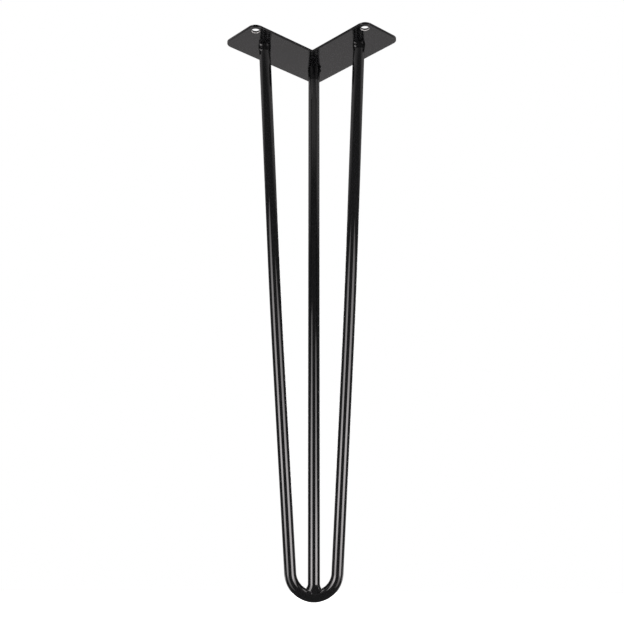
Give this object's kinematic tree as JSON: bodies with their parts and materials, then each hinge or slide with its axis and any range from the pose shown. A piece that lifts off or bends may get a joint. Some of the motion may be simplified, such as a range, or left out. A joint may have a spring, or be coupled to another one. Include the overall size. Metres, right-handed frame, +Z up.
{
  "type": "hairpin table leg",
  "caption": "Slender welded hairpin table leg of round steel bar, bent to a U at the foot and braced by a centre rod, under an L-shaped plate that bolts to the table.",
  "frame": {"origin": "midway between the two bolt holes, on the face of the plate that meets the table", "axes": "+Z up into the table, +X along the line of bolt holes, +Y towards the square corner of the plate and the foot"},
  "size_m": [0.1902, 0.148, 0.61],
  "materials": {
    "plate_coat": "gloss black coat on flat steel plate",
    "rod_coat": "gloss black coat on round steel bar",
    "weld_coat": "gloss black coat over weld beads"
  },
  "bodies": {
    "root": {"mounting_plate": "plate_coat", "hairpin_rod": "rod_coat", "centre_rod": "rod_coat", "left_plate_weld": "weld_coat", "right_plate_weld": "weld_coat", "centre_plate_weld": "weld_coat", "foot_weld": "weld_coat"}
  },
  "joints": []
}
